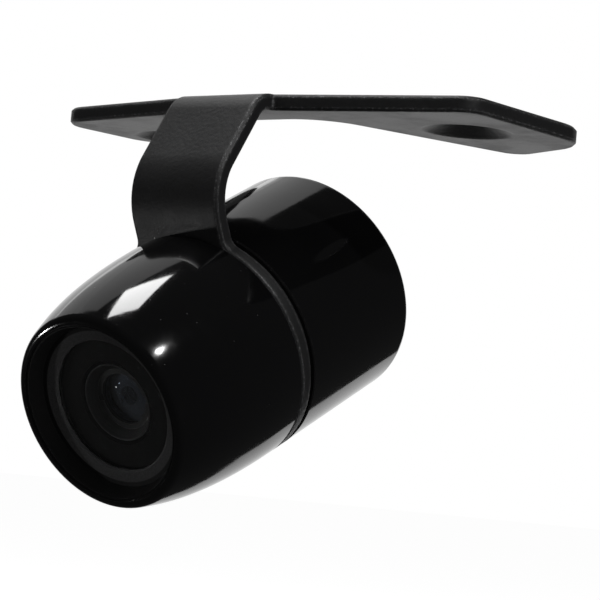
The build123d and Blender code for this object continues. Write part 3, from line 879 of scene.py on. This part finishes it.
class CAMERAPARTS_OT_inductor(Operator):
    """Makes the supply inductor as a drum core with a copper winding"""
    bl_idname = "cameraparts.inductor"
    bl_label = "Supply Inductor"

    def execute(self, context):
        board = context.scene.camera_parts.board
        low, high = barrel_box("supply_inductor")
        centre = ((low[0] + high[0]) / 2, (low[1] + high[1]) / 2)
        radius = (high[0] - low[0]) / 2
        flange = 0.42 * MM
        waist = 0.62 * radius
        pinhole = 0.02 * MM
        edge = 0.08 * MM
        steps_a_turn = 40

        def core(form):
            corners = [(low[2], pinhole), (low[2], radius), (low[2] + flange, radius),
                       (low[2] + flange, waist), (high[2] - flange, waist), (high[2] - flange, radius),
                       (high[2], radius), (high[2], pinhole)]
            lathe(form, rounded(corners, edge, steps=3), 64)
            for vertex in form.verts:
                vertex.co += on_barrel(0, *centre) - BARREL_CENTRE

        def winding(form):
            first = low[2] + flange + board.wire_radius
            last = high[2] - flange - board.wire_radius
            out = waist + board.wire_radius * 1.4
            steps = steps_a_turn * board.winding_turns
            points = []
            for step in range(steps + 1):
                spin = math.tau * step / steps_a_turn
                station = first + (last - first) * step / steps
                points.append(on_barrel(station, centre[0] + out * math.cos(spin),
                                        centre[1] + out * math.sin(spin)))
            tube(form, points, board.wire_radius, sides=8)

        add_piece("inductor_core", core, "camera", "ferrite", ["supply_inductor"])
        add_piece("inductor_winding", winding, "camera", "brass")
        return {"FINISHED"}


class CAMERAPARTS_OT_crystal(Operator):
    """Makes the crystal's pressed can with its welded rim"""
    bl_idname = "cameraparts.crystal"
    bl_label = "Sensor Crystal"

    def execute(self, context):
        low, high = barrel_box("sensor_crystal")
        rim = 0.18 * MM
        rim_thickness = 0.22 * MM
        rim_edge = 0.07 * MM
        can_edge = 0.20 * MM

        def can(form):
            soft_box(form, (low[0] + rim, low[1] + rim, low[2]), (high[0] - rim, high[1] - rim, high[2]),
                     can_edge, segments=5)
            soft_box(form, low, (high[0], high[1], low[2] + rim_thickness), rim_edge)

        add_piece("crystal_can", can, "camera", "screw_steel", ["sensor_crystal"])
        return {"FINISHED"}


class CAMERAPARTS_OT_solder(Operator):
    """Makes the solder joints of the socket"""
    bl_idname = "cameraparts.solder"
    bl_label = "Solder Joints"

    def execute(self, context):
        board_face = barrel_box("video_board")[0][2]
        pins_low, pins_high = barrel_box("socket_pins")
        row = (pins_low[1] + pins_high[1]) / 2
        spread = pins_high[0] - pins_low[0] - 0.4 * MM

        pins = 4
        blob_radius = 0.42 * MM
        flattening = 0.7
        proud = 0.02 * MM

        def joints(form):
            for pin in range(pins):
                x = -spread / 2 + spread * pin / (pins - 1)
                blob = bmesh.ops.create_uvsphere(form, u_segments=20, v_segments=12, radius=blob_radius)
                for vertex in blob["verts"]:
                    station = board_face + proud - max(vertex.co.z, 0.0) * flattening
                    vertex.co = on_barrel(station, x + vertex.co.x, row + vertex.co.y)

        add_piece("socket_solder", joints, "camera", "screw_steel")
        return {"FINISHED"}


class CAMERAPARTS_OT_studio(Operator):
    """Sets the plain floor, the soft lights and the view"""
    bl_idname = "cameraparts.studio"
    bl_label = "Studio"

    def execute(self, context):
        studio = context.scene.camera_parts.studio
        middle = (CAD_BOX[0] + CAD_BOX[1]) / 2
        lens = sum(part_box("front_element"), Vector()) / 2
        # Name, aimed point, azimuth, elevation, distance, width and height in mm, power, seen in gloss
        lamps = (
            ("backdrop_light", middle, -140, 0, 400, 560, 480, studio.backdrop_power, True),
            ("left_softbox", middle, -118, 47, 400, 330, 320, studio.left_power, True),
            ("overhead_softbox", middle, -62, 77, 260, 92, 74, studio.overhead_power, True),
            ("side_lamp", middle, 70, 42, 300, 11, 11, studio.side_power, True),
            ("lens_catchlight", lens, -54, -17, 86, 3, 3, studio.catch_power, True),
            ("front_fill", middle, -45, 32, 400, 180, 180, studio.fill_power, False),
            ("low_fill", middle, 80, -18, 140, 60, 24, studio.low_power, False),
        )
        for lamp in lamps:
            add_lamp(*lamp)
        add_floor(studio, middle)
        set_world()
        set_view(studio)
        return {"FINISHED"}


def direction(azimuth, elevation):
    """Unit vector towards an azimuth and an elevation, in radians; azimuth 0 is the lens side."""
    return Vector((math.sin(azimuth) * math.cos(elevation), -math.cos(azimuth) * math.cos(elevation),
                   math.sin(elevation)))


def add_lamp(name, target, azimuth, elevation, distance, width, height, power, in_gloss):
    """A soft rectangular lamp that faces its target; angles in degrees, distance and size in millimetres."""
    lamp = bpy.data.lights.new(name, "AREA")
    lamp.shape = "RECTANGLE"
    lamp.size = width * MM
    lamp.size_y = height * MM
    lamp.energy = power
    holder = bpy.data.objects.new(name, lamp)
    towards = direction(math.radians(azimuth), math.radians(elevation))
    holder.location = target + towards * (distance * MM)
    holder.rotation_euler = (-towards).to_track_quat("-Z", "Y").to_euler()
    holder.visible_camera = False
    holder.visible_glossy = in_gloss
    bpy.context.scene.collection.objects.link(holder)


def add_floor(studio, middle):
    """A plain floor well below the object: it glows, so that it reads as near white, and isn't reflected."""
    reach = 3.0
    level = CAD_BOX[0].z - studio.floor_gap
    corners = [(middle.x + x, middle.y + y, level)
               for x, y in ((-reach, -reach), (reach, -reach), (reach, reach), (-reach, reach))]
    mesh = bpy.data.meshes.new("floor")
    mesh.from_pydata(corners, [], [(0, 1, 2, 3)])
    floor = bpy.data.objects.new("floor", mesh)
    bpy.context.scene.collection.objects.link(floor)
    finish = Finish("floor_paper", Roughness=0.8)
    grain = finish.group(grain_group, Size=12 * MM, Fine_Size=1.5 * MM, Fine_Share=0.3)
    finish.feed("Base Color", finish.mix(grain["Shade"], toned(studio.floor, 0.985), studio.floor))
    finish.feed("Emission Color", (1.0, 1.0, 1.0, 1.0))
    finish.feed("Emission Strength", 0.95)
    mesh.materials.append(finish.material)
    floor.visible_glossy = False
    floor.visible_diffuse = False
    floor.visible_transmission = False


def set_world():
    """White behind everything as the camera sees it, and a dim even grey to every other ray."""
    dim_grey = (0.035, 0.035, 0.035)
    world = bpy.data.worlds.new("studio_white")
    world.use_nodes = True
    bpy.context.scene.world = world
    maker = NodeMaker(world.node_tree)
    sky = world.node_tree.nodes["Background"]
    path = maker.add("ShaderNodeLightPath")
    maker.put(sky.inputs["Color"], maker.mix(path.outputs["Is Camera Ray"], dim_grey, (1, 1, 1)))
    bpy.context.scene.view_settings.view_transform = "Standard"


def set_view(studio):
    """The camera that looks at the aimed point from the view's azimuth and elevation."""
    back = direction(studio.azimuth, studio.elevation)
    level = Vector((math.cos(studio.azimuth), math.sin(studio.azimuth), 0))
    upright = back.cross(level)
    right = level * math.cos(studio.roll) + upright * math.sin(studio.roll)
    lens = bpy.data.cameras.new("view")
    lens.lens = studio.focal_length
    lens.sensor_width = 36.0
    lens.clip_start = 10 * MM
    lens.clip_end = 20.0
    camera = bpy.data.objects.new("view", lens)
    turn = Matrix((right, back.cross(right), back)).transposed()
    camera.matrix_world = Matrix.Translation(Vector(studio.aim) + back * studio.distance) @ turn.to_4x4()
    bpy.context.scene.collection.objects.link(camera)
    bpy.context.scene.camera = camera


class CAMERAPARTS_PT_sidebar(Panel):
    """Lists the parts in the order in which they are made"""
    bl_idname = "CAMERAPARTS_PT_sidebar"
    bl_label = "Camera Parts"
    bl_space_type = "VIEW_3D"
    bl_region_type = "UI"
    bl_category = "Camera Parts"

    def draw(self, context):
        for operator in OPERATORS:
            self.layout.operator(operator.bl_idname)


OPERATORS = (
    CAMERAPARTS_OT_bracket,
    CAMERAPARTS_OT_housings,
    CAMERAPARTS_OT_black_parts,
    CAMERAPARTS_OT_glass,
    CAMERAPARTS_OT_inner_parts,
    CAMERAPARTS_OT_grommet,
    CAMERAPARTS_OT_seam_bead,
    CAMERAPARTS_OT_processor,
    CAMERAPARTS_OT_inductor,
    CAMERAPARTS_OT_crystal,
    CAMERAPARTS_OT_solder,
    CAMERAPARTS_OT_studio,
)
CLASSES = (
    BracketCoatSettings,
    ShellSettings,
    PlasticSettings,
    GlassSettings,
    BoardSettings,
    GrommetSettings,
    StudioSettings,
    CameraPartsSettings,
    *OPERATORS,
    CAMERAPARTS_PT_sidebar,
)


def register():
    for kind in CLASSES:
        bpy.utils.register_class(kind)
    bpy.types.Scene.camera_parts = PointerProperty(type=CameraPartsSettings)


def unregister():
    del bpy.types.Scene.camera_parts
    for kind in reversed(CLASSES):
        bpy.utils.unregister_class(kind)


def main():
    """Makes everything in order."""
    register()
    for operator in OPERATORS:
        group, name = operator.bl_idname.split(".")
        getattr(getattr(bpy.ops, group), name)()


if __name__ == "__main__":
    main()
